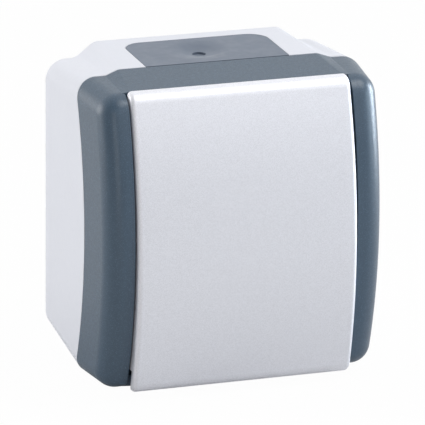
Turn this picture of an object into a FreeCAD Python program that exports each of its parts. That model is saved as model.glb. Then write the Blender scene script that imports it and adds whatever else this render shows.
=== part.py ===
import FreeCAD, Part
import math
import os
import Sketcher
from types import SimpleNamespace

# Outdoor surface-mounted rocker switch, in millimetres. The wall face lies on y = 0, the front
# faces -Y and +Z is up. A depth is measured from the wall towards the front, so depth d is y = -d.

DRIVING_SIZES = {
    # Housing outline
    "back_width": 65.0,
    "side_spread": 0.2,
    "cheek_taper": 1.3,
    "back_height": 62.8,
    "roof_draft": 6.0,
    "corner_round": 4.6,
    "side_wall": 2.3,
    "roof_wall": 2.1,
    # Raised platforms on the top and the bottom
    "platform_rise": 3.4,
    "platform_back_width": 43.0,
    "platform_seam_width": 45.6,
    "platform_foot_width": 51.6,
    "platform_front_width": 48.4,
    "platform_fall": 1.35,
    "platform_round": 3.0,
    # Bowed parting line between the base and the frame
    "seam_depth": 30.2,
    "seam_bow": 82.0,
    "seam_gap": 0.25,
    # Front frame
    "frame_depth": 43.8,
    "frame_fall": 2.0,
    "frame_end_round": 5.0,
    "cheek_sweep": 60.0,
    "cheek_wall": 1.8,
    "cheek_core": 2.0,
    "cheek_front_wall": 2.3,
    "cheek_core_height": 54.0,
    "band_reach": 2.2,
    "band_wall": 2.8,
    "web_thickness": 2.0,
    "screw_land": 3.4,
    "web_window_height": 30.4,
    "tongue_reach": 4.0,
    "tongue_margin": 2.5,
    "tongue_wall": 1.6,
    # Base box
    "floor_thickness": 2.5,
    "wall_hole_spacing": 49.0,
    "wall_hole_radius": 3.0,
    "wall_boss_radius": 5.2,
    "wall_boss_height": 0.8,
    "frame_post_radius": 2.8,
    "frame_screw_inset": 4.55,
    "frame_screw_z": 21.8,
    "seal_thickness": 2.0,
    "seal_clearance": 0.1,
    # Cable entries
    "entry_depth": 13.0,
    "entry_radius": 7.9,
    "pad_width": 33.0,
    "pad_back": 3.7,
    "pad_thickness": 1.6,
    "pad_corner_round": 4.5,
    "pad_clearance": 0.1,
    "dish_radius": 8.0,
    "dish_sink": 1.0,
    "dish_offset": 1.3,
    "dimple_radius": 1.55,
    "dimple_sink": 0.4,
    "sleeve_wall": 1.3,
    "membrane_thickness": 1.2,
    "lip_radius": 9.2,
    "lip_thickness": 1.4,
    # Screws
    "screw_radius": 1.4,
    "screw_clearance": 0.06,
    "screw_pass_radius": 1.7,
    "screw_head_radius": 2.4,
    "screw_head_height": 1.8,
    "slot_width": 0.7,
    "slot_sink": 0.8,
    "frame_screw_length": 14.0,
    "mechanism_screw_length": 22.0,
    # Rocker
    "cheek_width": 7.5,
    "rocker_margin": 0.2,
    "rocker_gap": 0.35,
    "rocker_bow": 110.0,
    "rocker_face": 12.0,
    "rocker_back": 3.0,
    "rocker_shell": 2.2,
    "rocker_skirt": 1.8,
    "rocker_skirt_height": 57.0,
    "rocker_end_round": 3.2,
    "rocker_side_round": 1.1,
    "rocker_lip_height": 2.6,
    "rocker_tilt": 3.0,
    "clip_width": 10.0,
    "clip_thickness": 1.4,
    "clip_nose": 1.3,
    "clip_clearance": 0.2,
    "post_side": 4.0,
    "post_x": 8.5,
    "post_z": 12.0,
    # Rocker carrier
    "pivot_setback": 10.8,
    "trunnion_radius": 2.0,
    "bearing_clearance": 0.05,
    "hub_width": 16.2,
    "hub_height": 10.0,
    "hub_back": 2.5,
    "hub_side_play": 0.4,
    "carrier_width": 22.0,
    "carrier_height": 32.0,
    "carrier_thickness": 2.0,
    "carrier_front": 7.0,
    "guide_radius": 3.2,
    "guide_end": 10.5,
    "bore_end": 3.5,
    # Plunger and spring
    "plunger_radius": 1.8,
    "plunger_clearance": 0.08,
    "plunger_length": 6.6,
    "plunger_gap": 0.2,
    "spring_radius": 1.3,
    "spring_wire_radius": 0.22,
    "spring_turns": 6.0,
    # Contact tumbler
    "tumbler_tilt": 9.0,
    "seat_height": 4.2,
    "seat_radius": 2.1,
    "saddle_height": 4.8,
    "saddle_side": 5.2,
    "lever_width": 6.4,
    "lever_length": 25.2,
    "lever_thickness": 1.2,
    "tumbler_pin_radius": 1.2,
    "contact_arm": 11.0,
    "rivet_radius": 1.5,
    "rivet_height": 1.0,
    "contact_gap": 0.1,
    # Mechanism insert
    "insert_width": 40.0,
    "insert_height": 36.0,
    "insert_thickness": 16.0,
    "insert_setback": 8.0,
    "insert_floor": 1.7,
    "contact_well_width": 10.8,
    "contact_well_height": 29.0,
    "terminal_x": 14.0,
    "terminal_z": 11.0,
    "terminal_side": 7.6,
    "terminal_height": 8.0,
    "terminal_clearance": 0.4,
    "wire_depth": 3.0,
    "wire_hole_radius": 1.7,
    "strip_thickness": 0.8,
    "strip_width": 4.6,
    "ear_thickness": 1.0,
    "ear_gap": 0.4,
    "ear_rise": 2.0,
    "insert_post_radius": 3.2,
    "insert_screw_x": 14.4,
    "insert_screw_z": 12.0,
    # Mechanism cover and its seal
    "cover_thickness": 2.0,
    "cover_window_width": 13.0,
    "cover_window_height": 20.0,
    "lug_thickness": 3.0,
    "lug_radius": 3.6,
    "driver_hole_radius": 2.5,
    "insert_seal_width": 2.0,
    "insert_seal_thickness": 1.0,
    "insert_seal_margin": 0.2,
}

doc = FreeCAD.newDocument("OutdoorSwitch")
sheet = doc.addObject("Spreadsheet::Sheet", "Sizes")
for row, (alias, number) in enumerate(DRIVING_SIZES.items(), start=1):
    sheet.set(f"A{row}", alias)
    sheet.set(f"B{row}", str(number))
    sheet.setAlias(f"B{row}", alias)
doc.recompute()


class Size:
    """A number with the sheet formula that gives it, so that arithmetic builds both."""

    def __init__(self, value, formula):
        self.value = value
        self.formula = formula

    @staticmethod
    def of(other):
        return other if isinstance(other, Size) else Size(float(other), str(other))

    def combined(self, sign, other, value):
        return Size(value, f"({self.formula} {sign} {other.formula})")

    def __add__(self, other):
        other = Size.of(other)
        return self.combined("+", other, self.value + other.value)

    def __sub__(self, other):
        other = Size.of(other)
        return self.combined("-", other, self.value - other.value)

    def __mul__(self, other):
        other = Size.of(other)
        return self.combined("*", other, self.value * other.value)

    def __truediv__(self, other):
        other = Size.of(other)
        return self.combined("/", other, self.value / other.value)

    def __neg__(self):
        return Size(-self.value, f"(0 - {self.formula})")


def root(size):
    return Size(math.sqrt(size.value), f"sqrt({size.formula})")


def sine(angle):
    return Size(math.sin(math.radians(angle.value)), f"sin({angle.formula})")


def cosine(angle):
    return Size(math.cos(math.radians(angle.value)), f"cos({angle.formula})")


def tangent(angle):
    return Size(math.tan(math.radians(angle.value)), f"tan({angle.formula})")


size = SimpleNamespace(**{alias: Size(float(sheet.get(alias)), f"Sizes.{alias}") for alias in DRIVING_SIZES})
ZERO = Size(0.0, "0")

# Sizes that several pieces share
seam_centre = size.seam_bow - size.seam_depth
platform_top = size.back_height / 2 + size.platform_rise
trim_height = platform_top + size.corner_round
seam_width = size.back_width + size.side_spread * 2
front_width = size.back_width - size.cheek_taper * 2
rocker_width = size.back_width - size.cheek_width * 2
cavity_width = size.back_width - size.side_wall * 2
cavity_height = size.back_height - size.roof_wall * 2
pivot_depth = size.frame_depth - size.pivot_setback
band_depth = pivot_depth + size.band_reach
insert_front = pivot_depth - size.insert_setback
insert_back = insert_front - size.insert_thickness
tongue_height = cavity_height - size.tongue_margin * 2
front_limit = size.frame_depth + size.corner_round
opening_width = rocker_width + size.rocker_gap * 2
frame_screw_x = opening_width / 2 - size.frame_screw_inset
web_window_width = (frame_screw_x - size.screw_land) * 2
tongue_width = opening_width + size.cheek_wall * 2
cover_front = insert_front + size.cover_thickness
web_depth = cover_front + size.insert_seal_thickness
web_front = web_depth + size.web_thickness
insert_floor_depth = insert_back + size.insert_floor
strip_front = insert_floor_depth + size.strip_thickness
screw_bore_radius = size.screw_radius + size.screw_clearance
recess_floor = platform_top - size.pad_thickness
tumbler_ratio = size.tumbler_tilt / size.rocker_tilt
plunger_reach = size.seat_height * tumbler_ratio
tumbler_depth = pivot_depth - plunger_reach - size.seat_height - size.plunger_gap
hub_half = size.hub_width / 2
lug_inner = hub_half + size.hub_side_play
lug_outer = lug_inner + size.lug_thickness


def bow_depth(radius, height):
    """Depth of a bowed surface of the given radius at a height above the middle."""
    return root(radius * radius - height * height) - seam_centre


def roof_half(depth):
    """Half height of the base's drafted roof at a depth."""
    return size.back_height / 2 + depth * tangent(size.roof_draft)


seam_top = bow_depth(size.seam_bow, platform_top)
frame_half = roof_half(seam_top)
rocker_half = frame_half - size.rocker_margin
well_height = (frame_half - size.band_wall) * 2


def bind(item, target, amount):
    item.setExpression(target, Size.of(amount).formula)


# Sketches and features of moulded bodies

def new_body(label):
    body = doc.addObject("PartDesign::Body", label)
    body.Label = label
    return body


def origin_plane(body, role):
    return next(feature for feature in body.Origin.OriginFeatures if feature.Role == role)


class Outline:
    """A sketch on one of a body's own planes, with its corners and radii tied to the sheet."""

    def __init__(self, body, name, role, offset=ZERO, shift=ZERO):
        self.sketch = body.newObject("Sketcher::SketchObject", name)
        self.sketch.AttachmentSupport = [(origin_plane(body, role), "")]
        self.sketch.MapMode = "FlatFace"
        bind(self.sketch, "AttachmentOffset.Base.z", offset)
        bind(self.sketch, "AttachmentOffset.Base.y", shift)

    def fix(self, kind, geometry, place, amount):
        constraint = Sketcher.Constraint(kind, -1, 1, geometry, place, amount.value)
        index = self.sketch.addConstraint(constraint)
        self.sketch.setExpression(f"Constraints[{index}]", amount.formula)

    def fix_radius(self, geometry, radius):
        index = self.sketch.addConstraint(Sketcher.Constraint("Radius", geometry, radius.value))
        self.sketch.setExpression(f"Constraints[{index}]", radius.formula)

    def loop(self, *corners):
        """Closed outline. A corner is (x, y), or (x, y, radius) where an arc leads to it.

        A positive radius bends to the left of the way along the outline, a negative one to the right.
        """
        edges = []
        for index, corner in enumerate(corners):
            before = corners[index - 1]
            start = FreeCAD.Vector(before[0].value, before[1].value, 0)
            end = FreeCAD.Vector(corner[0].value, corner[1].value, 0)
            if len(corner) == 2:
                edges.append((self.sketch.addGeometry(Part.LineSegment(start, end)), 1, 2))
                continue
            chord = end - start
            bend = abs(corner[2].value)
            rise = bend - math.sqrt(bend * bend - chord.Length ** 2 / 4)
            side = FreeCAD.Vector(chord.y, -chord.x, 0).normalize() * rise
            middle = (start + end) * 0.5 + (side if corner[2].value > 0 else side * -1)
            geometry = self.sketch.addGeometry(Part.Arc(start, middle, end))
            self.fix_radius(geometry, corner[2] if corner[2].value > 0 else -corner[2])
            edges.append((geometry, 1, 2) if corner[2].value > 0 else (geometry, 2, 1))
        for index, corner in enumerate(corners):
            here, following = edges[index], edges[(index + 1) % len(edges)]
            self.sketch.addConstraint(
                Sketcher.Constraint("Coincident", here[0], here[2], following[0], following[1]))
            self.fix("DistanceX", here[0], here[2], corner[0])
            self.fix("DistanceY", here[0], here[2], corner[1])
        return self

    def rectangle(self, x_span, y_span):
        return self.loop((x_span[0], y_span[0]), (x_span[1], y_span[0]),
                         (x_span[1], y_span[1]), (x_span[0], y_span[1]))

    def circle(self, x, y, radius):
        centre = FreeCAD.Vector(x.value, y.value, 0)
        geometry = self.sketch.addGeometry(Part.Circle(centre, FreeCAD.Vector(0, 0, 1), radius.value))
        self.fix("DistanceX", geometry, 3, x)
        self.fix("DistanceY", geometry, 3, y)
        self.fix_radius(geometry, radius)
        return self


def span(width):
    """Both ends of a width that is centred on the middle plane."""
    return (-(width / 2), width / 2)


def feature(body, kind, name, outline):
    made = body.newObject(f"PartDesign::{kind}", name)
    made.Profile = outline.sketch
    return made


def pad(body, name, outline, length, both_ways=False):
    made = feature(body, "Pad", name, outline)
    bind(made, "Length", length)
    if both_ways:
        made.SideType = "Symmetric"
    return made


def pocket(body, name, outline, length=None, forward=False, both_ways=False):
    """Cut an outline through everything, or to a length; forward follows the sketch's normal."""
    made = feature(body, "Pocket", name, outline)
    made.Reversed = forward
    if length is None:
        made.Type = "ThroughAll"
    else:
        bind(made, "Length", length)
    if both_ways:
        made.SideType = "Symmetric"
    return made


def loft(body, name, first, last):
    made = feature(body, "AdditiveLoft", name, first)
    made.Sections = [last.sketch]
    made.Ruled = True
    return made


def mirrored(body, name, original, role):
    made = body.newObject("PartDesign::Mirrored", name)
    made.Originals = [original]
    made.MirrorPlane = (origin_plane(body, role), [""])
    body.Tip = made
    return made


def fillet(body, name, radius, chosen):
    """Round every edge of the body so far for which chosen(edge) is true."""
    doc.recompute()
    base = body.Tip
    names = [f"Edge{index}" for index, edge in enumerate(base.Shape.Edges, start=1) if chosen(edge)]
    made = body.newObject("PartDesign::Fillet", name)
    made.Base = (base, names)
    bind(made, "Radius", radius)
    return made


def ends(edge):
    return [vertex.Point for vertex in edge.Vertexes]


# Plain solids for the inner pieces

def block(name, x_span, depth_span, z_span):
    made = doc.addObject("Part::Box", name)
    bind(made, "Length", x_span[1] - x_span[0])
    bind(made, "Width", depth_span[1] - depth_span[0])
    bind(made, "Height", z_span[1] - z_span[0])
    bind(made, "Placement.Base.x", x_span[0])
    bind(made, "Placement.Base.y", -depth_span[1])
    bind(made, "Placement.Base.z", z_span[0])
    return made


def rod(name, radius, depth_span, x=ZERO, z=ZERO):
    """Cylinder that runs from the wall side towards the front."""
    made = doc.addObject("Part::Cylinder", name)
    made.Placement.Rotation = FreeCAD.Rotation(FreeCAD.Vector(1, 0, 0), 90)
    bind(made, "Radius", radius)
    bind(made, "Height", depth_span[1] - depth_span[0])
    bind(made, "Placement.Base.x", x)
    bind(made, "Placement.Base.y", -depth_span[0])
    bind(made, "Placement.Base.z", z)
    return made


def cross_rod(name, radius, x_span, depth=ZERO, z=ZERO):
    """Cylinder that runs from left to right."""
    made = doc.addObject("Part::Cylinder", name)
    made.Placement.Rotation = FreeCAD.Rotation(FreeCAD.Vector(0, 1, 0), 90)
    bind(made, "Radius", radius)
    bind(made, "Height", x_span[1] - x_span[0])
    bind(made, "Placement.Base.x", x_span[0])
    bind(made, "Placement.Base.y", -depth)
    bind(made, "Placement.Base.z", z)
    return made


def upright_rod(name, radius, z_span, depth, x=ZERO):
    """Cylinder that runs upwards."""
    made = doc.addObject("Part::Cylinder", name)
    bind(made, "Radius", radius)
    bind(made, "Height", z_span[1] - z_span[0])
    bind(made, "Placement.Base.x", x)
    bind(made, "Placement.Base.y", -depth)
    bind(made, "Placement.Base.z", z_span[0])
    return made


def fuse(label, *pieces):
    made = doc.addObject("Part::MultiFuse", label)
    made.Shapes = list(pieces)
    made.Label = label
    return made


def cut(label, base, *tools):
    made = doc.addObject("Part::Cut", label)
    made.Base = base
    made.Tool = tools[0] if len(tools) == 1 else fuse(f"{label}_openings", *tools)
    made.Label = label
    return made


def group(label, pieces):
    made = doc.addObject("Part::Compound", label)
    made.Links = list(pieces)
    made.Label = label
    return made


def hang_on_pivot(item, depth, tilt, turn):
    """Set a piece that is modelled about its pivot on the pivot's axis, tilted to its rest."""
    rest = FreeCAD.Rotation(FreeCAD.Vector(turn, 0, 0), tilt.value)
    item.Placement = FreeCAD.Placement(FreeCAD.Vector(), rest)
    bind(item, "Placement.Base.y", -depth)
    bind(item, "Placement.Rotation.Angle", tilt)


# Base box: drafted walls, bowed rim, raised platforms, posts, wall holes and cable entries

def rim_trim(body, name, radius):
    """Cut away all that lies in front of a bowed surface."""
    rim_end = -bow_depth(radius, trim_height)
    outline = Outline(body, f"{name}_profile", "YZ_Plane").loop(
        (rim_end, -trim_height, radius), (-front_limit, -trim_height), (-front_limit, trim_height),
        (rim_end, trim_height))
    return pocket(body, name, outline, both_ways=True)


def platform_outline(body, name, depth, top_width, top_half, root_half):
    """Sloped sides that rise from the roof to the platform's top, with a root sunk into the roof."""
    foot = size.platform_foot_width / 2
    sunk = root_half - size.roof_wall / 2
    return Outline(body, name, "XZ_Plane", depth).loop(
        (-foot, sunk), (foot, sunk), (foot, root_half), (top_width / 2, top_half),
        (-(top_width / 2), top_half), (-foot, root_half))


def rounded_platform_outline(body, name, depth, top_width, top_half, root_half):
    """The platform's outline with its upper corners rounded to meet sides and top smoothly."""
    foot = size.platform_foot_width / 2
    sunk = root_half - size.roof_wall / 2
    run = foot - top_width / 2
    rise = top_half - root_half
    slant = root(run * run + rise * rise)
    reach = size.platform_round * (slant - run) / rise
    side_x = top_width / 2 + reach * run / slant
    side_z = top_half - reach * rise / slant
    flat_x = top_width / 2 - reach
    return Outline(body, name, "XZ_Plane", depth).loop(
        (-foot, sunk), (foot, sunk), (foot, root_half), (side_x, side_z),
        (flat_x, top_half, size.platform_round), (-flat_x, top_half),
        (-side_x, side_z, size.platform_round), (-foot, root_half))


def corner_posts():
    for side in (-1, 1):
        for level in (-1, 1):
            yield frame_screw_x * side, size.frame_screw_z * level


def insert_screw_places():
    yield -size.insert_screw_x, ZERO
    yield size.insert_screw_x, size.insert_screw_z
    yield size.insert_screw_x, -size.insert_screw_z


def circles(body, name, offset, places, radius):
    outline = Outline(body, name, "XZ_Plane", offset)
    for x, z in places:
        outline.circle(x, z, radius)
    return outline


def make_base_box():
    body = new_body("base_box")
    rim_radius = size.seam_bow - size.seam_gap / 2
    roof_front = roof_half(size.seam_depth)
    back = Outline(body, "back_outline", "XZ_Plane").rectangle(span(size.back_width), span(size.back_height))
    front = Outline(body, "seam_outline", "XZ_Plane", size.seam_depth).rectangle(
        span(seam_width), span(roof_front * 2))
    loft(body, "drafted_block", back, front)
    corner_x = size.back_width.value / 2 - size.corner_round.value
    corner_z = size.back_height.value / 2 - size.corner_round.value
    fillet(body, "corner_rounds", size.corner_round, lambda edge: all(
        abs(point.x) > corner_x and abs(point.z) > corner_z for point in ends(edge)) and
        abs(ends(edge)[0].y - ends(edge)[1].y) > size.entry_depth.value)
    widening = (size.platform_seam_width - size.platform_back_width) / seam_top
    platform = loft(
        body, "platform",
        platform_outline(body, "platform_back", ZERO, size.platform_back_width, platform_top,
                         size.back_height / 2),
        platform_outline(body, "platform_seam", size.seam_depth,
                         size.platform_back_width + widening * size.seam_depth, platform_top, roof_front))
    mirrored(body, "lower_platform", platform, "XY_Plane")
    crease_x = size.platform_foot_width.value / 2 + size.seam_gap.value

    def platform_crease(edge):
        first, last = ends(edge)
        along = abs(first.y - last.y) > size.entry_depth.value
        return along and all(abs(point.x) < crease_x and abs(point.z) > corner_z for point in (first, last))
    fillet(body, "platform_rounds", size.platform_round, platform_crease)
    rim_trim(body, "bowed_rim", rim_radius)
    cavity = Outline(body, "cavity_outline", "XZ_Plane", size.floor_thickness).rectangle(
        span(cavity_width), span(cavity_height))
    pocket(body, "cavity", cavity, forward=True)
    floor = size.floor_thickness
    pad(body, "frame_posts",
        circles(body, "frame_post_rings", floor, corner_posts(), size.frame_post_radius),
        web_depth - floor)
    pad(body, "insert_posts",
        circles(body, "insert_post_rings", floor, insert_screw_places(), size.insert_post_radius),
        insert_back - floor)
    wall_holes = [(ZERO, size.wall_hole_spacing / 2), (ZERO, -(size.wall_hole_spacing / 2))]
    pad(body, "wall_bosses", circles(body, "wall_boss_rings", floor, wall_holes, size.wall_boss_radius),
        size.wall_boss_height)
    pocket(body, "wall_holes", circles(body, "wall_hole_rings", ZERO, wall_holes, size.wall_hole_radius),
           length=floor + size.wall_boss_height, forward=True)
    pocket(body, "frame_screw_bores",
           circles(body, "frame_bore_rings", web_front - size.frame_screw_length,
                   corner_posts(), screw_bore_radius),
           forward=True)
    pocket(body, "insert_screw_bores",
           circles(body, "insert_bore_rings", cover_front - size.mechanism_screw_length,
                   insert_screw_places(), screw_bore_radius),
           forward=True)
    entry = Outline(body, "entry_ring", "XY_Plane").circle(ZERO, -size.entry_depth, size.entry_radius)
    pocket(body, "cable_entries", entry, both_ways=True)
    recess_outline = pad_outline(Outline(body, "recess_outline", "XY_Plane", recess_floor), ZERO, front_limit)
    recess = pocket(body, "pad_recess", recess_outline, forward=True)
    mirrored(body, "lower_recess", recess, "XY_Plane")
    return body


def pad_outline(outline, margin, front):
    """Outline of the membrane pad, its rear corners round, drawn in by a margin."""
    half = size.pad_width / 2 - margin
    back = size.pad_back + margin
    bend = size.pad_corner_round
    return outline.loop((-half, -front), (half, -front), (half, -(back + bend)),
                        (half - bend, -back, bend), (-(half - bend), -back), (-half, -(back + bend), bend))


# Cable membranes: a soft pad with a dish and a dimple to pierce, and a sleeve that grips the wall

def make_dish(top):
    """Tool for the dish, an S-shaped profile that leaves the pad smoothly and turns about its middle."""
    body = new_body("membrane_dish")
    reach, sink = size.dish_radius, size.dish_sink
    bend = (reach * reach + sink * sink) / (sink * 4)
    profile = Outline(body, "dish_profile", "XZ_Plane", size.entry_depth).loop(
        (ZERO, top + sink), (ZERO, top - sink), (reach / 2, top - sink / 2, bend), (reach, top, -bend),
        (reach, top + sink))
    bind(profile.sketch, "AttachmentOffset.Base.x", -size.dish_offset)
    turned = feature(body, "Revolution", "dish_form", profile)
    turned.ReferenceAxis = (profile.sketch, ["V_Axis"])
    return body


def make_top_membrane():
    front = bow_depth(size.seam_bow, platform_top) - size.seam_gap
    body = new_body("membrane_pad")
    outline = Outline(body, "pad_outline", "XY_Plane", recess_floor)
    pad(body, "pad", pad_outline(outline, size.pad_clearance, front), size.pad_thickness)
    inner = cavity_height / 2
    sleeve_radius = size.entry_radius - size.pad_clearance
    lip_span = (inner - size.lip_thickness, inner)
    sleeve = upright_rod("membrane_sleeve", sleeve_radius, (lip_span[0], recess_floor), size.entry_depth)
    lip = upright_rod("membrane_lip", size.lip_radius, lip_span, size.entry_depth)
    dish_floor = platform_top - size.dish_sink
    dimple = upright_rod("pierce_dimple", size.dimple_radius, (dish_floor - size.dimple_sink, platform_top),
                         size.entry_depth, -size.dish_offset)
    hollow = upright_rod("membrane_hollow", sleeve_radius - size.sleeve_wall,
                         (lip_span[0], dish_floor - size.membrane_thickness), size.entry_depth)
    blank = fuse("membrane_blank", body, sleeve, lip)
    return cut("top_cable_membrane", blank, make_dish(platform_top), dimple, hollow)


def make_bottom_membrane(upper):
    lower = doc.addObject("Part::Mirroring", "bottom_cable_membrane")
    lower.Source = upper
    lower.Normal = FreeCAD.Vector(0, 0, 1)
    lower.Label = "bottom_cable_membrane"
    return lower


# Front frame: bowed cheeks, drafted roof with the fading platforms, rocker well, web and tongue

def make_front_frame():
    body = new_body("front_frame")
    back_radius = size.seam_bow + size.seam_gap / 2
    front_radius = size.frame_depth + seam_centre
    section = Outline(body, "cheek_section", "XY_Plane", shift=seam_centre).loop(
        (-(seam_width / 2), -back_radius), (seam_width / 2, -back_radius),
        (front_width / 2, -front_radius), (-(front_width / 2), -front_radius))
    sweep = feature(body, "Revolution", "bowed_block", section)
    sweep.ReferenceAxis = (section.sketch, ["H_Axis"])
    sweep.Midplane = True
    bind(sweep, "Angle", size.cheek_sweep)
    fall = tangent(size.frame_fall)
    roof_back = frame_half + seam_top * fall
    roof_front = roof_back - front_limit * fall
    sky = front_radius * sine(size.cheek_sweep / 2)
    over = Outline(body, "roof_profile", "YZ_Plane").loop(
        (ZERO, roof_back), (ZERO, sky), (-front_limit, sky), (-front_limit, roof_front))
    roof = pocket(body, "roof", over, both_ways=True)
    mirrored(body, "underside", roof, "XY_Plane")
    reach = size.seam_depth.value

    def end_edge(edge):
        level = all(abs(point.y) > reach for point in ends(edge))
        return level and abs(ends(edge)[0].x - ends(edge)[1].x) > reach
    fillet(body, "end_rounds", size.frame_end_round, end_edge)
    cheek_x = front_width.value / 2 - size.cheek_wall.value

    def side_edge(edge):
        middle = edge.valueAt((edge.FirstParameter + edge.LastParameter) / 2)
        radius = math.hypot(middle.y - seam_centre.value, middle.z)
        return radius > back_radius.value + size.seam_gap.value and abs(middle.x) > cheek_x
    fillet(body, "side_rounds", size.corner_round, side_edge)
    start = seam_top - size.frame_end_round
    slope = size.platform_fall / (band_depth - seam_top)
    spread = (size.platform_front_width - size.platform_seam_width) / (band_depth - seam_top)
    platform = loft(
        body, "platform",
        rounded_platform_outline(
            body, "platform_seam", start, size.platform_seam_width - spread * size.frame_end_round,
            platform_top + slope * size.frame_end_round, frame_half + fall * size.frame_end_round),
        rounded_platform_outline(
            body, "platform_front", band_depth, size.platform_front_width,
            platform_top - size.platform_fall, frame_half - fall * (band_depth - seam_top)))
    mirrored(body, "lower_platform", platform, "XY_Plane")
    rim_end = -bow_depth(back_radius, trim_height)
    behind = Outline(body, "seam_profile", "YZ_Plane").loop(
        (ZERO, -trim_height), (rim_end, -trim_height), (rim_end, trim_height, -back_radius),
        (ZERO, trim_height))
    pocket(body, "bowed_seam", behind, both_ways=True)
    back_room = Outline(body, "back_room_outline", "XZ_Plane").rectangle(
        span(cavity_width), span(cavity_height))
    pocket(body, "back_room", back_room, length=web_depth, forward=True)
    mouth = Outline(body, "mouth_outline", "XZ_Plane", band_depth).rectangle(
        span(opening_width), span(trim_height * 2))
    pocket(body, "rocker_mouth", mouth, forward=True)
    well = Outline(body, "well_outline", "XZ_Plane", web_depth).rectangle(
        span(opening_width), span(well_height))
    pocket(body, "rocker_well", well, forward=True)
    core_front = size.frame_depth - size.cheek_front_wall - size.frame_end_round
    cores = Outline(body, "core_outline", "XZ_Plane")
    inner, outer = tongue_width / 2, tongue_width / 2 + size.cheek_core
    cores.rectangle((inner, outer), span(size.cheek_core_height))
    cores.rectangle((-outer, -inner), span(size.cheek_core_height))
    pocket(body, "cheek_cores", cores, length=core_front, forward=True)
    web = Outline(body, "web_outline", "XZ_Plane", web_depth).rectangle(
        span(tongue_width), span(well_height + size.cheek_wall))
    pad(body, "web", web, size.web_thickness)
    tongue = Outline(body, "tongue_outline", "XZ_Plane", web_depth - size.frame_end_round)
    tongue.rectangle(span(tongue_width), span(tongue_height))
    tongue.rectangle(span(opening_width), span(tongue_height - size.tongue_wall * 2))
    pad(body, "tongue", tongue, size.frame_end_round + size.tongue_reach)
    tongue_radius = size.seam_bow - size.tongue_reach
    tongue_end = -bow_depth(tongue_radius, trim_height)
    rear = Outline(body, "tongue_profile", "YZ_Plane").loop(
        (ZERO, -trim_height), (tongue_end, -trim_height), (tongue_end, trim_height, -tongue_radius),
        (ZERO, trim_height))
    pocket(body, "tongue_bow", rear, both_ways=True)
    window = Outline(body, "window_outline", "XZ_Plane", web_depth).rectangle(
        span(web_window_width), span(size.web_window_height))
    pocket(body, "window", window, forward=True)
    rings = circles(body, "screw_hole_rings", web_depth, corner_posts(), size.screw_pass_radius)
    pocket(body, "screw_holes", rings, forward=True)
    return body


def make_housing_seal():
    """Soft ring round the frame's tongue, bowed with the rim."""
    gap = size.seal_clearance
    outer_x, outer_z = cavity_width - gap * 2, cavity_height - gap * 2
    inner_x, inner_z = tongue_width + gap * 2, tongue_height + gap * 2
    ring = cut("seal_ring", block("seal_outside", span(outer_x), (ZERO, front_limit), span(outer_z)),
               block("seal_inside", span(inner_x), (ZERO, front_limit), span(inner_z)))
    body = new_body("seal_band")
    front_radius = size.seam_bow - size.seam_gap
    back_radius = front_radius - size.seal_thickness
    front_end = -bow_depth(front_radius, trim_height)
    back_end = -bow_depth(back_radius, trim_height)
    band = Outline(body, "band_profile", "YZ_Plane").loop(
        (back_end, -trim_height, back_radius), (front_end, -trim_height),
        (front_end, trim_height, -front_radius), (back_end, trim_height))
    pad(body, "band", band, cavity_width, both_ways=True)
    seal = doc.addObject("Part::Common", "housing_seal")
    seal.Base = ring
    seal.Tool = body
    seal.Label = "housing_seal"
    return seal


# Screws

def slotted_screw(name, x, z, seat, length):
    """Screw whose head stands in front of a seat and whose shank runs back from it."""
    head_span = (seat, seat + size.screw_head_height)
    shank = rod(f"{name}_shank", size.screw_radius, (seat - length, seat), x, z)
    head = rod(f"{name}_head", size.screw_head_radius, head_span, x, z)
    slot_span = (head_span[1] - size.slot_sink, head_span[1])
    half = size.screw_head_radius
    slot = block(f"{name}_slot", (x - half, x + half), slot_span,
                 (z - size.slot_width / 2, z + size.slot_width / 2))
    return cut(name, fuse(f"{name}_blank", shank, head), slot)


def make_screws(label, places, seat, length):
    return group(label, [slotted_screw(f"{label}_{index}", x, z, seat, length)
                         for index, (x, z) in enumerate(places, start=1)])


# Mechanism insert with its terminals and contacts

def terminal_places():
    yield -size.terminal_x, size.terminal_z
    yield -size.terminal_x, -size.terminal_z
    yield size.terminal_x, ZERO


def around(middle, width):
    return (middle - width / 2, middle + width / 2)


def make_mechanism_body():
    room = (insert_floor_depth, insert_front)
    blank = block("insert_blank", span(size.insert_width), (insert_back, insert_front),
                  span(size.insert_height))
    tools = [block("contact_well", span(size.contact_well_width), room, span(size.contact_well_height))]
    side = size.terminal_side + size.terminal_clearance
    strip_room = size.strip_width + size.terminal_clearance
    wire_line = strip_front + size.wire_depth
    for index, (x, z) in enumerate(terminal_places(), start=1):
        tools.append(block(f"terminal_pocket_{index}", around(x, side), room, around(z, side)))
        way = (x, ZERO) if x.value < 0 else (ZERO, x)
        strip_depth = (insert_floor_depth, strip_front + size.terminal_clearance)
        tools.append(block(f"strip_way_{index}", way, strip_depth, around(z, strip_room)))
        edge = size.insert_width / 2
        hole = (-edge, x) if x.value < 0 else (x, edge)
        tools.append(cross_rod(f"wire_hole_{index}", size.wire_hole_radius, hole, wire_line, z))
    for index, (x, z) in enumerate(insert_screw_places(), start=1):
        tools.append(rod(f"insert_screw_hole_{index}", size.screw_pass_radius,
                         (insert_back, insert_front), x, z))
    return cut("mechanism_body", blank, *tools)


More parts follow.
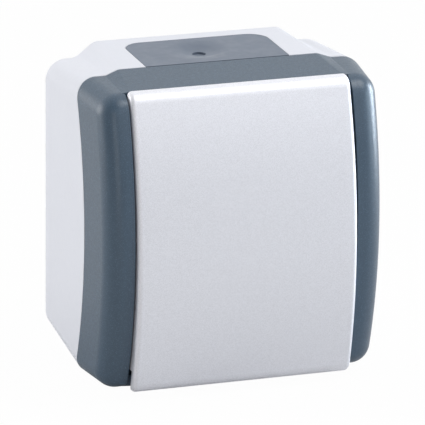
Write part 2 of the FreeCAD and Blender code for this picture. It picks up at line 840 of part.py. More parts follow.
def make_mechanism_cover():
    plate_span = (insert_front, cover_front)
    plate = block("cover_plate", span(size.insert_width), plate_span, span(size.insert_height))
    lugs = []
    for index, side in enumerate(((lug_inner, lug_outer), (-lug_outer, -lug_inner)), start=1):
        lugs.append(block(f"lug_{index}", side, (cover_front, pivot_depth), span(size.lug_radius * 2)))
        lugs.append(cross_rod(f"lug_end_{index}", size.lug_radius, side, pivot_depth))
    tools = [block("cover_window", span(size.cover_window_width), plate_span,
                   span(size.cover_window_height))]
    tools.append(cross_rod("bearing_bore", size.trunnion_radius + size.bearing_clearance,
                           (-lug_outer, lug_outer), pivot_depth))
    for index, (x, z) in enumerate(terminal_places(), start=1):
        tools.append(rod(f"driver_hole_{index}", size.driver_hole_radius, plate_span, x, z))
    for index, (x, z) in enumerate(insert_screw_places(), start=1):
        tools.append(rod(f"cover_screw_hole_{index}", size.screw_pass_radius, plate_span, x, z))
    return cut("mechanism_cover", fuse("cover_blank", plate, *lugs), *tools)


def make_mechanism_seal():
    room = (cover_front, web_depth)
    margin = size.insert_seal_margin * 2
    inner_x, inner_z = web_window_width + margin, size.web_window_height + margin
    width = size.insert_seal_width * 2
    outside = block("insert_seal_outside", span(inner_x + width), room, span(inner_z + width))
    inside = block("insert_seal_inside", span(inner_x), room, span(inner_z))
    return cut("mechanism_seal", outside, inside)


def strip(name, x_span, z):
    return block(name, x_span, (insert_floor_depth, strip_front), around(z, size.strip_width))


terminal_end = size.terminal_x + size.terminal_side / 2


def make_throw_contact(label, z):
    tab = block(f"{label}_tab", (-terminal_end, -(size.terminal_x - size.terminal_side / 2)),
                (insert_floor_depth, strip_front), around(z, size.strip_width + size.strip_thickness / 2))
    return fuse(label, strip(f"{label}_strip", (-terminal_end, size.rivet_radius * 2), z), tab)


def make_common_terminal():
    ear_inner = size.lever_width / 2 + size.ear_gap
    ear_outer = ear_inner + size.ear_thickness
    ear_front = tumbler_depth + size.tumbler_pin_radius + size.ear_rise
    ears = [block(f"ear_{index}", side, (insert_floor_depth, ear_front), span(size.strip_width))
            for index, side in enumerate(((ear_inner, ear_outer), (-ear_outer, -ear_inner)), start=1)]
    tongue = strip("common_strip", (-ear_outer, terminal_end), ZERO)
    bore = cross_rod("ear_bore", size.tumbler_pin_radius + size.bearing_clearance, (-ear_outer, ear_outer),
                     tumbler_depth)
    return cut("common_terminal", fuse("common_blank", tongue, *ears), bore)


def make_fixed_rivets():
    turn = size.tumbler_tilt
    face = size.lever_thickness / 2 + size.rivet_height
    closed = (tumbler_depth - (size.contact_arm + size.rivet_radius) * sine(turn) - face * cosine(turn)
              - size.contact_gap)
    places = (size.contact_arm, -size.contact_arm)
    return group("fixed_contact_rivets", [
        rod(f"fixed_rivet_{index}", size.rivet_radius, (strip_front, closed), ZERO, z)
        for index, z in enumerate(places, start=1)])


def make_terminals():
    clamps, screws = [], []
    seat = strip_front + size.terminal_height
    wire_line = strip_front + size.wire_depth
    for index, (x, z) in enumerate(terminal_places(), start=1):
        width = around(x, size.terminal_side)
        cage = block(f"clamp_block_{index}", width, (strip_front, seat), around(z, size.terminal_side))
        wire = cross_rod(f"clamp_wire_hole_{index}", size.wire_hole_radius, width, wire_line, z)
        bore = rod(f"clamp_screw_hole_{index}", screw_bore_radius, (wire_line, seat), x, z)
        clamps.append(cut(f"clamp_{index}", cage, wire, bore))
        screws.append(slotted_screw(f"terminal_screw_{index}", x, z, seat,
                                    size.terminal_height - size.wire_depth - size.wire_hole_radius))
    return group("terminal_clamps", clamps), group("terminal_screws", screws)


# Moving pieces, modelled about their own pivots with reach counted towards the front

def make_rocker():
    body = new_body("rocker")
    half = rocker_half
    bow = size.rocker_bow

    def face(radius, height):
        return size.rocker_face - bow + root(radius * radius - height * height)
    end = face(bow, half)
    profile = Outline(body, "side_profile", "YZ_Plane").loop(
        (-size.rocker_back, -half), (-size.rocker_back, half), (-end, half), (-end, -half, bow))
    pad(body, "block", profile, rocker_width, both_ways=True)
    half_value = half.value
    skin = size.rocker_side_round.value

    def end_edge(edge):
        along = abs(ends(edge)[0].x - ends(edge)[1].x) > half_value
        return along and all(abs(point.y + end.value) < skin for point in ends(edge))
    fillet(body, "end_rounds", size.rocker_end_round, end_edge)

    def side_edge(edge):
        middle = edge.valueAt((edge.FirstParameter + edge.LastParameter) / 2)
        at_side = abs(middle.x) > rocker_width.value / 2 - skin
        return at_side and middle.y < -(size.rocker_back.value + skin / 2)
    fillet(body, "side_rounds", size.rocker_side_round, side_edge)
    inner_half = half - size.rocker_lip_height
    inner_bow = bow - size.rocker_shell
    inner_end = face(inner_bow, inner_half)
    hollow = Outline(body, "hollow_profile", "YZ_Plane").loop(
        (ZERO, -inner_half), (ZERO, inner_half), (-inner_end, inner_half),
        (-inner_end, -inner_half, inner_bow))
    pocket(body, "hollow", hollow, length=rocker_width - size.rocker_skirt * 2, both_ways=True)
    skirt_half = size.rocker_skirt_height / 2
    far_half = half + size.rocker_lip_height
    near, far = face(inner_bow, skirt_half), face(inner_bow, far_half)
    notch = Outline(body, "notch_profile", "YZ_Plane")
    notch.loop((ZERO, skirt_half), (ZERO, far_half), (-far, far_half), (-near, skirt_half, inner_bow))
    notch.loop((ZERO, -far_half), (ZERO, -skirt_half), (-near, -skirt_half), (-far, -far_half, inner_bow))
    pocket(body, "skirt_notches", notch, both_ways=True)
    front = size.carrier_front
    posts = Outline(body, "post_outline", "XZ_Plane", front)
    for side in (-1, 1):
        for level in (-1, 1):
            posts.rectangle(around(size.post_x * side, size.post_side),
                            around(size.post_z * level, size.post_side))
    pad(body, "posts", posts, face(bow, size.post_z) - front - size.rocker_shell / 2)
    plate_half = size.carrier_height / 2 + size.clip_clearance
    leg_root = plate_half + size.clip_thickness
    nose_front = front - size.carrier_thickness - size.clip_clearance
    nose_back = nose_front - size.clip_nose
    legs = Outline(body, "clip_outline", "XZ_Plane", nose_back)
    noses = Outline(body, "nose_outline", "XZ_Plane", nose_back)
    for level in (-1, 1):
        near_leg, far_leg = sorted((plate_half * level, leg_root * level), key=lambda place: place.value)
        legs.rectangle(span(size.clip_width), (near_leg, far_leg))
        tip = (plate_half - size.clip_nose) * level
        low, high = sorted((tip, leg_root * level), key=lambda place: place.value)
        noses.rectangle(span(size.clip_width), (low, high))
    pad(body, "clip_legs", legs, face(bow, leg_root) - nose_back - size.rocker_shell / 2)
    pad(body, "clip_noses", noses, size.clip_nose)
    hang_on_pivot(body, pivot_depth, size.rocker_tilt, -1)
    return body


def make_carrier():
    front = size.carrier_front
    plate = block("carrier_plate", span(size.carrier_width), (front - size.carrier_thickness, front),
                  span(size.carrier_height))
    hub = block("carrier_hub", span(size.hub_width), (-size.hub_back, front), span(size.hub_height))
    pins = cross_rod("trunnions", size.trunnion_radius, (-lug_outer, lug_outer))
    guide = rod("plunger_guide", size.guide_radius, (-size.guide_end, ZERO))
    bore_radius = size.plunger_radius + size.plunger_clearance
    bore = rod("plunger_bore", bore_radius, (-size.guide_end, size.bore_end))
    carrier = cut("rocker_carrier", fuse("carrier_blank", plate, hub, pins, guide), bore)
    hang_on_pivot(carrier, pivot_depth, size.rocker_tilt, -1)
    return carrier


plunger_back = size.plunger_length - plunger_reach


def make_plunger():
    ball_reach = size.plunger_radius - plunger_reach
    stem = rod("plunger_stem", size.plunger_radius, (ball_reach, plunger_back))
    tip = doc.addObject("Part::Sphere", "plunger_tip")
    bind(tip, "Radius", size.plunger_radius)
    bind(tip, "Placement.Base.y", -ball_reach)
    plunger = fuse("plunger", stem, tip)
    hang_on_pivot(plunger, pivot_depth, size.rocker_tilt, -1)
    return plunger


def make_plunger_spring():
    wire = size.spring_wire_radius
    rise = size.bore_end - plunger_back - wire * 2
    helix = doc.addObject("Part::Helix", "spring_line")
    bind(helix, "Radius", size.spring_radius)
    bind(helix, "Height", rise)
    bind(helix, "Pitch", rise / size.spring_turns)
    helix.Placement.Rotation = FreeCAD.Rotation(FreeCAD.Vector(1, 0, 0), 90)
    bind(helix, "Placement.Base.y", -(plunger_back + wire))
    section = doc.addObject("Part::Circle", "spring_section")
    bind(section, "Radius", wire)
    bind(section, "Placement.Base.x", size.spring_radius)
    bind(section, "Placement.Base.y", -(plunger_back + wire))
    doc.recompute()
    spring = doc.addObject("Part::Sweep", "plunger_spring")
    spring.Sections = [section]
    spring.Spine = (helix, ["Edge1"])
    spring.Solid = True
    spring.Frenet = True
    spring.Label = "plunger_spring"
    hang_on_pivot(spring, pivot_depth, size.rocker_tilt, -1)
    return spring


def make_tumbler():
    half = size.lever_thickness / 2
    lever = block("lever", span(size.lever_width), (-half, half), span(size.lever_length))
    saddle = block("saddle", span(size.saddle_side), (ZERO, size.saddle_height), span(size.saddle_side))
    ear_outer = size.lever_width / 2 + size.ear_gap + size.ear_thickness
    pin = cross_rod("tumbler_pin", size.tumbler_pin_radius, (-ear_outer, ear_outer))
    groove = cross_rod("saddle_groove", size.seat_radius, span(size.saddle_side),
                       size.seat_height + size.seat_radius)
    tumbler = cut("contact_tumbler", fuse("tumbler_blank", lever, saddle, pin), groove)
    hang_on_pivot(tumbler, tumbler_depth, size.tumbler_tilt, 1)
    rivet_span = (-(half + size.rivet_height), -half)
    rivets = group("moving_contact_rivets", [
        rod(f"moving_rivet_{index}", size.rivet_radius, rivet_span, ZERO, z)
        for index, z in enumerate((size.contact_arm, -size.contact_arm), start=1)])
    hang_on_pivot(rivets, tumbler_depth, size.tumbler_tilt, 1)
    return tumbler, rivets


def make_all():
    """Every piece of the switch, in the order in which it is put together."""
    pieces = [make_base_box()]
    upper = make_top_membrane()
    pieces += [upper, make_bottom_membrane(upper), make_housing_seal(), make_front_frame()]
    pieces.append(make_screws("frame_screws", corner_posts(), web_front, size.frame_screw_length))
    pieces += [make_mechanism_body(), make_mechanism_cover(), make_mechanism_seal()]
    pieces.append(make_screws("mechanism_screws", insert_screw_places(), cover_front,
                              size.mechanism_screw_length))
    pieces += [make_common_terminal(), make_throw_contact("upper_contact", size.terminal_z),
               make_throw_contact("lower_contact", -size.terminal_z), make_fixed_rivets()]
    pieces += make_terminals()
    pieces += [make_rocker(), make_carrier(), make_plunger(), make_plunger_spring()]
    pieces += make_tumbler()
    return pieces


def check_and_write(pieces):
    """Stop on any failed feature or poor solid, then write one file for each piece."""
    failed = [item.Name for item in doc.Objects if {"Invalid", "Error"} & set(item.State)]
    if failed:
        raise RuntimeError(f"failed features: {failed}")
    for piece in pieces:
        if piece.Shape.isNull() or not piece.Shape.isValid() or not piece.Shape.Solids:
            raise RuntimeError(f"poor solid: {piece.Label}")
    os.makedirs("parts", exist_ok=True)
    for piece in pieces:
        piece.Shape.exportStep(os.path.join("parts", f"{piece.Label}.step"))
        print(piece.Label, len(piece.Shape.Solids), round(piece.Shape.Volume, 1))


all_pieces = make_all()
doc.recompute()
check_and_write(all_pieces)
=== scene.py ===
import logging
import math
from dataclasses import dataclass
from enum import Enum

import bmesh
import bpy
from mathutils import Matrix, Vector


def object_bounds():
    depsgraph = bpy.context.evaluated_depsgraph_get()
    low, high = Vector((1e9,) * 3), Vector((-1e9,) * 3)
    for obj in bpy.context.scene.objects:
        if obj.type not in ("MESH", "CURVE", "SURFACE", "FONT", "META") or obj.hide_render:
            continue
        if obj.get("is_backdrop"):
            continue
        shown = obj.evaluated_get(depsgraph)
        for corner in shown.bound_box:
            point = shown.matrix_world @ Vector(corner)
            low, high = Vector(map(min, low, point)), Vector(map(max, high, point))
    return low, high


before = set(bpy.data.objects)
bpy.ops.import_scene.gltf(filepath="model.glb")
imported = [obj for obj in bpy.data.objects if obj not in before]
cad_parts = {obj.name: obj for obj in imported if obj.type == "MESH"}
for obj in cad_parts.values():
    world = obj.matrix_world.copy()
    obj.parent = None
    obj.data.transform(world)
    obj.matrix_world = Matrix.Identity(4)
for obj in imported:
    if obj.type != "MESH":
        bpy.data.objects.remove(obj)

log = logging.getLogger("outdoor_switch")

MM = 0.001
Colour = tuple[float, float, float]
Socket = bpy.types.NodeSocket
WHITE: Colour = (1.0, 1.0, 1.0)

# Sockets of the Mix node, which has a set for each kind of value under the same names
MIX_FACTOR = 0
NUMBER_LOW, NUMBER_HIGH, NUMBER_RESULT = 2, 3, 0
COLOUR_LOW, COLOUR_HIGH, COLOUR_RESULT = 6, 7, 2

# Values between which most of a noise texture lies
NOISE_SPAN = (0.3, 0.7)


def rgba(colour: Colour) -> tuple[float, float, float, float]:
    """Colour with full opacity."""
    return (*colour, 1.0)


def lighter(colour: Colour, share: float) -> Colour:
    """The colour, raised or lowered by a share of itself."""
    return tuple(min(1.0, part * (1.0 + share)) for part in colour)


class Relief(Enum):
    """Surface textures of the mouldings, as the grain's size in millimetres."""

    FINE_SPARK = 0.22
    SOFT_SPARK = 0.4
    SKIN = 0.7
    LACQUER = 0.11

    def scale(self) -> float:
        """Grains in a metre."""
        return 1.0 / (self.value * MM)


class NodeTree:
    """Short way to place and link the nodes of one shader tree."""

    def __init__(self, tree: bpy.types.NodeTree) -> None:
        """Keep the tree that the nodes go into."""
        self.tree = tree

    def add(self, kind: str, **values: object) -> bpy.types.Node:
        """Place a node.

        Args:
            kind: Node class name, less its ShaderNode prefix.
            values: Attributes of the node.

        Returns:
            The new node.
        """
        prefix = "" if kind.startswith("NodeGroup") else "ShaderNode"
        node = self.tree.nodes.new(prefix + kind)
        for name, value in values.items():
            setattr(node, name, value)
        return node

    def link(self, source: Socket, target: Socket) -> None:
        """Join an output to an input."""
        self.tree.links.new(source, target)

    def combine(self, operation: str, first: Socket, second: Socket | float) -> Socket:
        """Work out a value from two others.

        Args:
            operation: What the Math node does.
            first: An output.
            second: Another output, or a plain number.

        Returns:
            The result.
        """
        node = self.add("Math", operation=operation)
        self.link(first, node.inputs[0])
        if isinstance(second, float):
            node.inputs[1].default_value = second
        else:
            self.link(second, node.inputs[1])
        return node.outputs[0]

    def ramp(self, value: Socket, span: tuple[float, float], reach: tuple[float, float] = (0.0, 1.0),
             blend: str = "LINEAR") -> Socket:
        """Carry a value over from one span to another.

        Args:
            value: The value.
            span: Its lower and upper limit.
            reach: What the limits become.
            blend: How the result runs between them.

        Returns:
            The value in its new span.
        """
        node = self.add("MapRange", interpolation_type=blend)
        for name, limit in zip(("From Min", "From Max", "To Min", "To Max"), (*span, *reach)):
            node.inputs[name].default_value = limit
        self.link(value, node.inputs["Value"])
        return node.outputs[0]


class EffectGroup(NodeTree):
    """Node group of one shared effect, which reads Object coordinates at a given scale."""

    def __init__(self, name: str, *outputs: str) -> None:
        """Open the group with its sockets.

        Args:
            name: The group's name.
            outputs: Names of the values that it gives.
        """
        super().__init__(bpy.data.node_groups.new(name, "ShaderNodeTree"))
        sides = [("Scale", "INPUT")] + [(output, "OUTPUT") for output in outputs]
        for socket, side in sides:
            self.tree.interface.new_socket(name=socket, in_out=side, socket_type="NodeSocketFloat")
        self.scale = self.add("NodeGroupInput").outputs["Scale"]
        self.place = self.add("TexCoord").outputs["Object"]
        self.result = self.add("NodeGroupOutput").inputs

    def noise(self, place: Socket, scale: Socket, **settings: float) -> Socket:
        """Place a noise texture.

        Args:
            place: Coordinates that it reads.
            scale: Its scale.
            settings: Plain values of its other sockets.

        Returns:
            The noise, from 0 to 1.
        """
        node = self.add("TexNoise", noise_dimensions="3D")
        for name, value in settings.items():
            node.inputs[name].default_value = value
        self.link(place, node.inputs["Vector"])
        self.link(scale, node.inputs["Scale"])
        return node.outputs[0]


@dataclass
class Effects:
    """Effects that several finishes share, built once."""

    fine_detail: float = 3.0
    fine_roughness: float = 0.6
    coarse_detail: float = 1.0
    coarse_scale: float = 0.35
    drift_detail: float = 2.0
    drift_swirl: float = 0.6
    spark_span: tuple[float, float] = (0.8, 1.0)
    line_detail: float = 2.0
    line_stretch: tuple[float, float, float] = (1.0, 0.06, 1.0)

    def __post_init__(self) -> None:
        """Build every group."""
        self.grain = self.build_grain()
        self.drift = self.build_drift()
        self.flake = self.build_flake()
        self.lines = self.build_lines()

    def build_grain(self) -> bpy.types.NodeTree:
        """Spark-eroded mould texture with pits of two sizes.

        Returns:
            The group, which gives a height and a gloss that follows the larger pits.
        """
        group = EffectGroup("mould_grain", "Height", "Gloss")
        fine = group.noise(group.place, group.scale, Detail=self.fine_detail, Roughness=self.fine_roughness)
        wider = group.combine("MULTIPLY", group.scale, self.coarse_scale)
        coarse = group.noise(group.place, wider, Detail=self.coarse_detail)
        mean = group.combine("MULTIPLY", group.combine("ADD", fine, coarse), 0.5)
        group.link(mean, group.result["Height"])
        group.link(coarse, group.result["Gloss"])
        return group.tree

    def build_drift(self) -> bpy.types.NodeTree:
        """Slow change of tone, as melt flow leaves it in a moulding and tarnish on metal.

        Returns:
            The group, which gives a tone.
        """
        group = EffectGroup("flow_drift", "Tone")
        tone = group.noise(group.place, group.scale, Detail=self.drift_detail, Distortion=self.drift_swirl)
        group.link(tone, group.result["Tone"])
        return group.tree

    def build_flake(self) -> bpy.types.NodeTree:
        """Flakes of metal or mica, as small cells.

        Returns:
            The group, which gives each cell a random tone, and a mask of the few bright cells.
        """
        group = EffectGroup("metal_flake", "Tone", "Spark")
        cells = group.add("TexVoronoi", voronoi_dimensions="3D")
        group.link(group.scale, cells.inputs["Scale"])
        group.link(group.place, cells.inputs["Vector"])
        parts = group.add("SeparateColor")
        group.link(cells.outputs["Color"], parts.inputs[0])
        group.link(parts.outputs[0], group.result["Tone"])
        group.link(group.ramp(parts.outputs[1], self.spark_span), group.result["Spark"])
        return group.tree

    def build_lines(self) -> bpy.types.NodeTree:
        """Drawn lines in bare metal, stretched along the depth.

        Returns:
            The group, which gives a height.
        """
        group = EffectGroup("drawn_lines", "Height")
        stretch = group.add("Mapping")
        stretch.inputs["Scale"].default_value = self.line_stretch
        group.link(group.place, stretch.inputs["Vector"])
        lines = group.noise(stretch.outputs["Vector"], group.scale, Detail=self.line_detail)
        group.link(lines, group.result["Height"])
        return group.tree


class Surface(NodeTree):
    """One material under construction, with its Principled shader."""

    def __init__(self, name: str) -> None:
        """Start a material that shows its shader alone."""
        self.material = bpy.data.materials.new(name)
        self.material.use_nodes = True
        self.material.node_tree.nodes.clear()
        super().__init__(self.material.node_tree)
        self.shader = self.add("BsdfPrincipled")
        self.shown = self.add("OutputMaterial").inputs["Surface"]
        self.link(self.shader.outputs[0], self.shown)

    def effect(self, group: bpy.types.NodeTree, scale: float) -> bpy.types.NodeOutputs:
        """Place a shared effect.

        Args:
            group: The effect's node group.
            scale: Its scale on this material.

        Returns:
            The values that it gives, by name.
        """
        node = self.add("Group", node_tree=group)
        node.inputs["Scale"].default_value = scale
        return node.outputs

    def set(self, **values: float) -> None:
        """Set plain values on the shader's own sockets, named with underscores."""
        for name, value in values.items():
            self.shader.inputs[name.replace("_", " ")].default_value = value

    def colour(self, factor: Socket, low: Colour, high: Colour) -> None:
        """Run the base colour between two tones.

        Args:
            factor: What picks the tone, from 0 to 1.
            low: Tone at 0.
            high: Tone at 1.
        """
        mix = self.add("Mix", data_type="RGBA")
        mix.inputs[COLOUR_LOW].default_value = rgba(low)
        mix.inputs[COLOUR_HIGH].default_value = rgba(high)
        self.link(factor, mix.inputs[MIX_FACTOR])
        self.link(mix.outputs[COLOUR_RESULT], self.shader.inputs["Base Color"])

    def sparkle(self, spark: Socket, bright: Colour) -> None:
        """Set bright flakes into the base colour that is already linked.

        Args:
            spark: Mask of the flakes.
            bright: Their colour.
        """
        base = self.shader.inputs["Base Color"]
        under = base.links[0].from_socket
        mix = self.add("Mix", data_type="RGBA")
        mix.inputs[COLOUR_HIGH].default_value = rgba(bright)
        self.link(spark, mix.inputs[MIX_FACTOR])
        self.link(under, mix.inputs[COLOUR_LOW])
        self.link(mix.outputs[COLOUR_RESULT], base)

    def roughness(self, factor: Socket, gloss: tuple[float, float]) -> None:
        """Run the roughness between two values.

        Args:
            factor: Noise that picks the value.
            gloss: Lowest and highest roughness.
        """
        self.link(self.ramp(factor, NOISE_SPAN, gloss), self.shader.inputs["Roughness"])

    def bump(self, height: Socket, depth_mm: float) -> None:
        """Raise the surface by a height.

        Args:
            height: Height from 0 to 1.
            depth_mm: Size of the full height.
        """
        node = self.add("Bump")
        node.inputs["Strength"].default_value = 1.0
        node.inputs["Distance"].default_value = depth_mm * MM
        self.link(height, node.inputs["Height"])
        self.link(node.outputs[0], self.shader.inputs["Normal"])


@dataclass(frozen=True)
class MouldedPlastic:
    """Coloured thermoplastic with the mould's spark texture."""

    name: str
    colour: Colour
    relief: Relief
    gloss: tuple[float, float]
    drift: float = 0.03
    drift_scale: float = 45.0
    depth_mm: float = 0.012
    specular: float = 0.5
    refraction: float = 1.52
    mica: float = 0.0

    def material(self, effects: Effects) -> bpy.types.Material:
        """Build the material.

        Args:
            effects: The shared effects.

        Returns:
            The material.
        """
        surface = Surface(self.name)
        tone = surface.effect(effects.drift, self.drift_scale)["Tone"]
        grain = surface.effect(effects.grain, self.relief.scale())
        surface.colour(tone, lighter(self.colour, -self.drift), lighter(self.colour, self.drift))
        if self.mica:
            flake = surface.effect(effects.flake, Relief.LACQUER.scale())
            surface.sparkle(flake["Spark"], lighter(self.colour, self.mica))
        surface.roughness(grain["Gloss"], self.gloss)
        surface.bump(grain["Height"], self.depth_mm)
        surface.set(Specular_IOR_Level=self.specular, IOR=self.refraction)
        return surface.material


@dataclass(frozen=True)
class SilverLacquer:
    """Silver paint with fine metal flakes on plastic."""

    name: str
    colour: Colour
    dark: Colour
    metallic: float
    gloss: tuple[float, float]
    depth_mm: float = 0.004
    coat: float = 0.1
    coat_roughness: float = 0.4

    def material(self, effects: Effects) -> bpy.types.Material:
        """Build the material.

        Args:
            effects: The shared effects.

        Returns:
            The material.
        """
        surface = Surface(self.name)
        flake = surface.effect(effects.flake, Relief.LACQUER.scale())["Tone"]
        grain = surface.effect(effects.grain, Relief.FINE_SPARK.scale())
        surface.colour(flake, self.dark, self.colour)
        surface.roughness(flake, self.gloss)
        surface.bump(grain["Height"], self.depth_mm)
        surface.set(Metallic=self.metallic, Coat_Weight=self.coat, Coat_Roughness=self.coat_roughness)
        return surface.material


@dataclass(frozen=True)
class SoftElastomer:
    """Matt rubber-like moulding with a skin of fine folds."""

    name: str
    colour: Colour
    gloss: tuple[float, float]
    drift: float = 0.06
    drift_scale: float = 90.0
    depth_mm: float = 0.02
    sheen: float = 0.15
    sheen_roughness: float = 0.6
    specular: float = 0.35

    def material(self, effects: Effects) -> bpy.types.Material:
        """Build the material.

        Args:
            effects: The shared effects.

        Returns:
            The material.
        """
        surface = Surface(self.name)
        tone = surface.effect(effects.drift, self.drift_scale)["Tone"]
        grain = surface.effect(effects.grain, Relief.SKIN.scale())
        surface.colour(tone, lighter(self.colour, -self.drift), lighter(self.colour, self.drift))
        surface.roughness(grain["Gloss"], self.gloss)
        surface.bump(grain["Height"], self.depth_mm)
        surface.set(Sheen_Weight=self.sheen, Sheen_Roughness=self.sheen_roughness,
                    Specular_IOR_Level=self.specular)
        return surface.material


@dataclass(frozen=True)
class BareMetal:
    """Stamped or turned metal with drawn lines and slight tarnish."""

    name: str
    colour: Colour
    tarnish: Colour
    gloss: tuple[float, float]
    drift_scale: float = 250.0
    line_scale: float = 2500.0
    depth_mm: float = 0.006

    def material(self, effects: Effects) -> bpy.types.Material:
        """Build the material.

        Args:
            effects: The shared effects.

        Returns:
            The material.
        """
        surface = Surface(self.name)
        tone = surface.effect(effects.drift, self.drift_scale)["Tone"]
        lines = surface.effect(effects.lines, self.line_scale)["Height"]
        surface.colour(tone, self.tarnish, self.colour)
        surface.roughness(lines, self.gloss)
        surface.bump(lines, self.depth_mm)
        surface.set(Metallic=1.0)
        return surface.material


Finish = MouldedPlastic | SilverLacquer | SoftElastomer | BareMetal

BASE_WHITE = MouldedPlastic(
    "base_white", (0.690, 0.706, 0.765), Relief.SOFT_SPARK, (0.42, 0.52), drift=0.015)
FRAME_SLATE = MouldedPlastic(
    "frame_slate", (0.055, 0.089, 0.130), Relief.FINE_SPARK, (0.32, 0.41), mica=0.7)
INSERT_GREY = MouldedPlastic("insert_grey", (0.62, 0.62, 0.60), Relief.SOFT_SPARK, (0.5, 0.6))
CARRIER_WHITE = MouldedPlastic("carrier_white", (0.78, 0.78, 0.75), Relief.SOFT_SPARK, (0.4, 0.5))
ROCKER_SILVER = SilverLacquer(
    "rocker_silver", (0.90, 0.90, 0.95), (0.76, 0.76, 0.805), 0.45, (0.42, 0.54))
MEMBRANE_GREY = SoftElastomer("membrane_grey", (0.118, 0.148, 0.200), (0.5, 0.62))
SEAL_BLACK = SoftElastomer("seal_black", (0.02, 0.02, 0.022), (0.6, 0.75))
SCREW_STEEL = BareMetal("screw_steel", (0.68, 0.68, 0.70), (0.55, 0.55, 0.54), (0.25, 0.4))
SPRING_STEEL = BareMetal("spring_steel", (0.52, 0.52, 0.54), (0.40, 0.40, 0.41), (0.25, 0.4))
CONTACT_BRASS = BareMetal("contact_brass", (0.80, 0.62, 0.30), (0.66, 0.47, 0.22), (0.22, 0.38))
CONTACT_SILVER = BareMetal("contact_silver", (0.88, 0.87, 0.84), (0.74, 0.72, 0.68), (0.2, 0.35))


class Wardrobe:
    """Makes each finish's material once and puts it on CAD nodes."""

    def __init__(self) -> None:
        """Build the shared effects."""
        self.effects = Effects()
        self.made: dict[str, bpy.types.Material] = {}

    def material(self, finish: Finish) -> bpy.types.Material:
        """Find a finish's material, built at its first use.

        Args:
            finish: The finish.

        Returns:
            Its material.
        """
        if finish.name not in self.made:
            self.made[finish.name] = finish.material(self.effects)
        return self.made[finish.name]

    def dress(self, finish: Finish, *nodes: str) -> None:
        """Give CAD nodes a finish.

        Args:
            finish: What the nodes are made of.
            nodes: Their names.
        """
        for name in nodes:
            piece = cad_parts[name]
            piece.data.materials.clear()
            piece.data.materials.append(self.material(finish))
            log.info("%s dressed in %s", name, finish.name)


@dataclass
class Housing:
    """Base box, cable membranes, seal and front frame."""

    wardrobe: Wardrobe

    def build(self) -> None:
        """Dress the housing's pieces."""
        self.wardrobe.dress(BASE_WHITE, "base_box")
        self.wardrobe.dress(FRAME_SLATE, "front_frame")
        self.wardrobe.dress(MEMBRANE_GREY, "top_cable_membrane", "bottom_cable_membrane")
        self.wardrobe.dress(SEAL_BLACK, "housing_seal")
        self.wardrobe.dress(SCREW_STEEL, "frame_screws")


@dataclass
class Mechanism:
    """Insert with its terminals, contacts and moving tumbler."""

    wardrobe: Wardrobe

    def build(self) -> None:
        """Dress the mechanism's pieces."""
        self.wardrobe.dress(INSERT_GREY, "mechanism_body", "mechanism_cover")
        self.wardrobe.dress(SEAL_BLACK, "mechanism_seal")
        self.wardrobe.dress(SCREW_STEEL, "mechanism_screws", "terminal_screws")
        self.wardrobe.dress(CONTACT_BRASS, "common_terminal", "upper_contact", "lower_contact",
                            "terminal_clamps", "contact_tumbler")
        self.wardrobe.dress(CONTACT_SILVER, "fixed_contact_rivets", "moving_contact_rivets")


@dataclass
class RockerUnit:
    """Silver rocker on its carrier, with the spring-loaded plunger."""

    wardrobe: Wardrobe

    def build(self) -> None:
        """Dress the rocker's pieces."""
        self.wardrobe.dress(ROCKER_SILVER, "rocker")
        self.wardrobe.dress(CARRIER_WHITE, "rocker_carrier", "plunger")
        self.wardrobe.dress(SPRING_STEEL, "plunger_spring")


@dataclass(frozen=True)
class SoftBox:
    """One soft lamp of the studio, with its place and size in metres."""

    name: str
    place: tuple[float, float, float]
    size: tuple[float, float]
    watts: float
    colour: Colour = WHITE
    gloss_only: bool = False


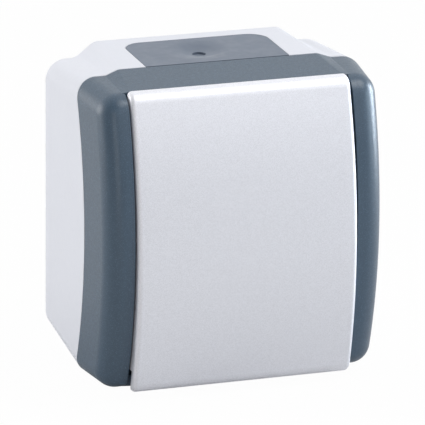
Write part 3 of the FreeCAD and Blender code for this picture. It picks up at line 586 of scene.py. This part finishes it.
@dataclass
class Studio:
    """Pale floor, soft light and the camera at the photograph's angle, in metres and degrees."""

    azimuth: float = -18.49
    elevation: float = 18.03
    roll: float = 0.62
    distance: float = 1.07067
    focal_pixels: float = 4910.57
    picture_pixels: int = 425
    sensor_mm: float = 36.0
    target: tuple[float, float, float] = (-0.00345, -0.030, 0.00281)
    floor_size: float = 4.0
    floor_drop: float = 0.0002
    floor_tone: float = 0.62
    floor_roughness: float = 0.9
    floor_specular: float = 0.1
    floor_white_share: float = 0.98
    mirror_way: tuple[float, float, float] = (0.6, 1.0, 0.0)
    mirror_edge: tuple[float, float] = (-0.06, 0.03)
    room_level: float = 0.23
    backdrop_level: float = 1.0
    backdrop_edge: tuple[float, float] = (-0.3, 0.5)
    lamps: tuple[SoftBox, ...] = (
        SoftBox("sky_box", (0.34, -0.24, 0.68), (0.4, 0.4), 3.0),
        SoftBox("front_box", (0.30, -0.86, 0.44), (0.9, 0.5), 1.3),
        SoftBox("right_strip", (0.64, -0.38, 0.0), (0.16, 0.6), 2.0, (0.66, 0.84, 1.0)),
        SoftBox("right_rim", (0.55, 0.02, 0.07), (0.22, 0.30), 5.0, (0.78, 0.89, 1.0), gloss_only=True),
        SoftBox("left_box", (-0.66, 0.34, 0.14), (0.5, 0.5), 2.9),
        SoftBox("left_strip", (-0.42, -0.80, 0.10), (0.14, 0.7), 1.0),
    )

    def build(self) -> None:
        """Set the whole stage."""
        self.build_world()
        self.build_floor()
        for lamp in self.lamps:
            self.build_lamp(lamp)
        self.build_camera()
        bpy.context.scene.view_settings.view_transform = "Standard"
        log.info("stage set with %d lamps", len(self.lamps))

    def build_world(self) -> None:
        """White behind the object and wherever the camera looks, a dim room on the camera's side."""
        world = bpy.data.worlds.new("studio_world")
        world.use_nodes = True
        world.node_tree.nodes.clear()
        tree = NodeTree(world.node_tree)
        path = tree.add("LightPath").outputs
        seen = tree.combine("MAXIMUM", path["Is Camera Ray"], path["Is Transmission Ray"])
        way = tree.add("SeparateXYZ")
        tree.link(tree.add("TexCoord").outputs["Object"], way.inputs[0])
        room = tree.ramp(way.outputs["Y"], self.backdrop_edge, (self.room_level, self.backdrop_level),
                         "SMOOTHSTEP")
        level = tree.add("Mix", data_type="FLOAT")
        level.inputs[NUMBER_HIGH].default_value = 1.0
        tree.link(seen, level.inputs[MIX_FACTOR])
        tree.link(room, level.inputs[NUMBER_LOW])
        backdrop = tree.add("Background")
        backdrop.inputs["Color"].default_value = rgba(WHITE)
        tree.link(level.outputs[NUMBER_RESULT], backdrop.inputs["Strength"])
        tree.link(backdrop.outputs[0], tree.add("OutputWorld").inputs["Surface"])
        bpy.context.scene.world = world

    def build_floor(self) -> None:
        """Pale floor under the object that keeps its shadow and reads white."""
        low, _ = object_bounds()
        shape = bmesh.new()
        bmesh.ops.create_grid(shape, x_segments=1, y_segments=1, size=self.floor_size)
        bmesh.ops.translate(shape, verts=shape.verts, vec=(0.0, 0.0, low[2] - self.floor_drop))
        mesh = bpy.data.meshes.new("floor")
        shape.to_mesh(mesh)
        shape.free()
        floor = bpy.data.objects.new("floor", mesh)
        bpy.context.collection.objects.link(floor)
        mesh.materials.append(self.floor_material())
        floor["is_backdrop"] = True

    def floor_material(self) -> bpy.types.Material:
        """Matt and pale, lifted to white for the camera and, behind the object, for reflections.

        Returns:
            The material, which keeps a share of its own shade for the shadow.
        """
        surface = Surface("floor_white")
        surface.set(Roughness=self.floor_roughness, Specular_IOR_Level=self.floor_specular)
        surface.shader.inputs["Base Color"].default_value = rgba((self.floor_tone,) * 3)
        lean = surface.add("VectorMath", operation="DOT_PRODUCT")
        lean.inputs[1].default_value = self.mirror_way
        surface.link(surface.add("TexCoord").outputs["Object"], lean.inputs[0])
        behind = surface.ramp(lean.outputs["Value"], self.mirror_edge, blend="SMOOTHSTEP")
        path = surface.add("LightPath").outputs
        mirrored = surface.combine("MULTIPLY", path["Is Glossy Ray"], behind)
        seen = surface.combine("MAXIMUM", path["Is Camera Ray"], mirrored)
        white = surface.combine("MULTIPLY", seen, self.floor_white_share)
        mix = surface.add("MixShader")
        surface.link(white, mix.inputs[0])
        surface.link(surface.shader.outputs[0], mix.inputs[1])
        surface.link(surface.add("Emission").outputs[0], mix.inputs[2])
        surface.link(mix.outputs[0], surface.shown)
        return surface.material

    def build_lamp(self, lamp: SoftBox) -> None:
        """Hang one soft lamp and turn it to the object.

        Args:
            lamp: The lamp.
        """
        data = bpy.data.lights.new(lamp.name, "AREA")
        data.shape = "RECTANGLE"
        data.size, data.size_y = lamp.size
        data.energy = lamp.watts
        data.color = lamp.colour
        holder = bpy.data.objects.new(lamp.name, data)
        way = Vector(self.target) - Vector(lamp.place)
        turn = way.to_track_quat("-Z", "Y").to_matrix().to_4x4()
        holder.matrix_world = Matrix.Translation(lamp.place) @ turn
        holder.visible_diffuse = not lamp.gloss_only
        bpy.context.collection.objects.link(holder)

    def build_camera(self) -> None:
        """Stand the camera where the photograph was taken from."""
        turn, rise = math.radians(self.azimuth), math.radians(self.elevation)
        back = Vector((math.sin(turn) * math.cos(rise), -math.cos(turn) * math.cos(rise), math.sin(rise)))
        right = Vector((math.cos(turn), math.sin(turn), 0.0))
        axes = Matrix((right, back.cross(right), back)).transposed().to_4x4()
        data = bpy.data.cameras.new("camera")
        data.sensor_width = self.sensor_mm
        data.lens = self.sensor_mm * self.focal_pixels / self.picture_pixels
        camera = bpy.data.objects.new("camera", data)
        spot = Matrix.Translation(Vector(self.target) + back * self.distance)
        camera.matrix_world = spot @ axes @ Matrix.Rotation(math.radians(self.roll), 4, "Z")
        bpy.context.collection.objects.link(camera)
        bpy.context.scene.camera = camera


def main() -> None:
    """Dress the switch and set the stage."""
    logging.basicConfig(level=logging.INFO, format="%(message)s")
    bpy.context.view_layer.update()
    wardrobe = Wardrobe()
    for unit in (Housing(wardrobe), Mechanism(wardrobe), RockerUnit(wardrobe)):
        unit.build()
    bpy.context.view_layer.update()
    Studio().build()


if __name__ == "__main__":
    main()
